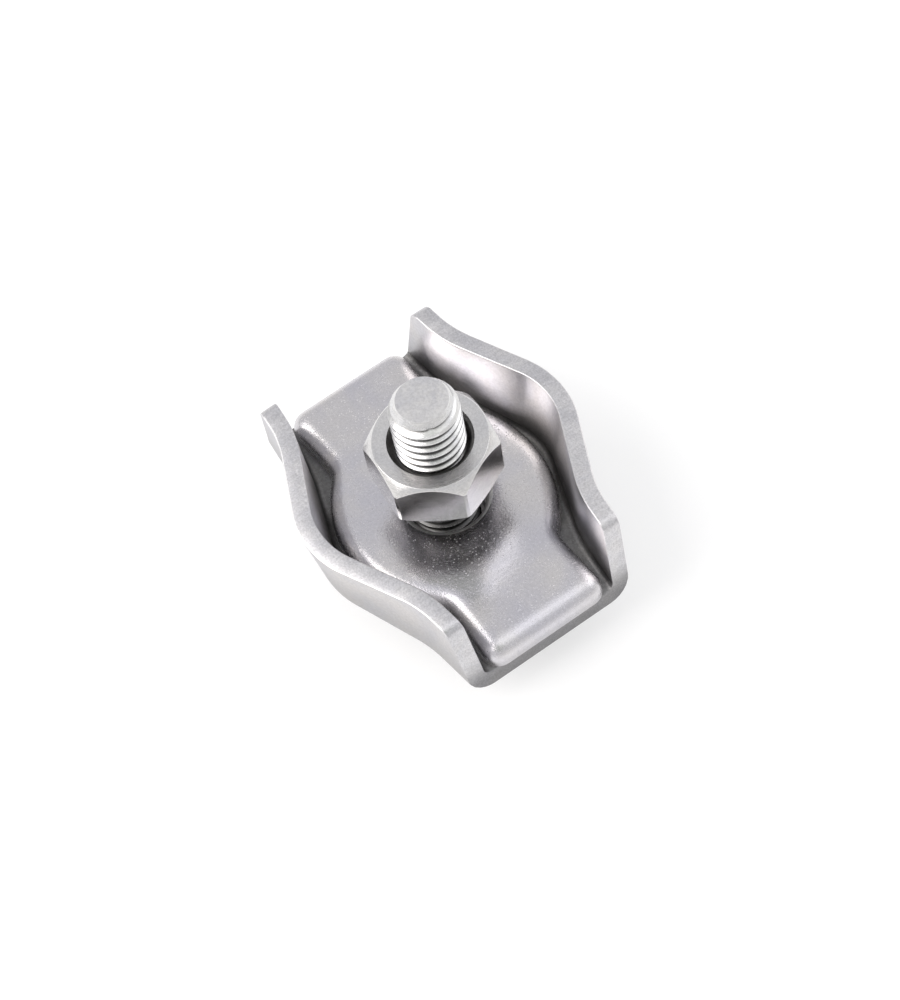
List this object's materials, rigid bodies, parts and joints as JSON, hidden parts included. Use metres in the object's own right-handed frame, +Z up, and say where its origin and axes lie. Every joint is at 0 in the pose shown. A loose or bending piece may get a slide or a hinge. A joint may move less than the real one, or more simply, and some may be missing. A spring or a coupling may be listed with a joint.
{
  "type": "simplex wire rope clip",
  "caption": "Wire rope clip: a pressed U channel with bulged walls holds ropes side by side under a pressure plate, clamped by a hex bolt and nut.",
  "frame": {"origin": "on the bolt's axis, at the flat face of the bolt head that the clip stands on", "axes": "+Z up along the bolt, from its head to its threaded end; +X along the channel, the way the ropes lie"},
  "size_m": [0.0308, 0.0258, 0.0227],
  "materials": {
    "channel_steel": "tumbled stainless steel, satin, with sheared edges",
    "plate_steel": "tumbled stainless steel, satin",
    "bolt_steel": "stainless steel, bright rolled thread and a matt cut end",
    "nut_steel": "stainless steel, bright turned faces"
  },
  "bodies": {
    "base": {"base_channel": "channel_steel", "hex_bolt": "bolt_steel"},
    "plate": {"pressure_plate": "plate_steel"},
    "nut": {"hex_nut": "nut_steel"}
  },
  "joints": [
    {"name": "plate_lift", "type": "slide", "parent": "base", "child": "plate", "axis": [0, 0, 1], "range_m": [0, 0.0058]},
    {"name": "nut_turn", "type": "hinge", "parent": "plate", "child": "nut", "pos_m": [0, 0, 0.01435], "axis": [0, 0, 1], "range_deg": [0, 2089]}
  ],
  "couplings": [
    {"joint": "nut_turn", "follows": "plate_lift", "rad_per_m": 6283.2}
  ]
}
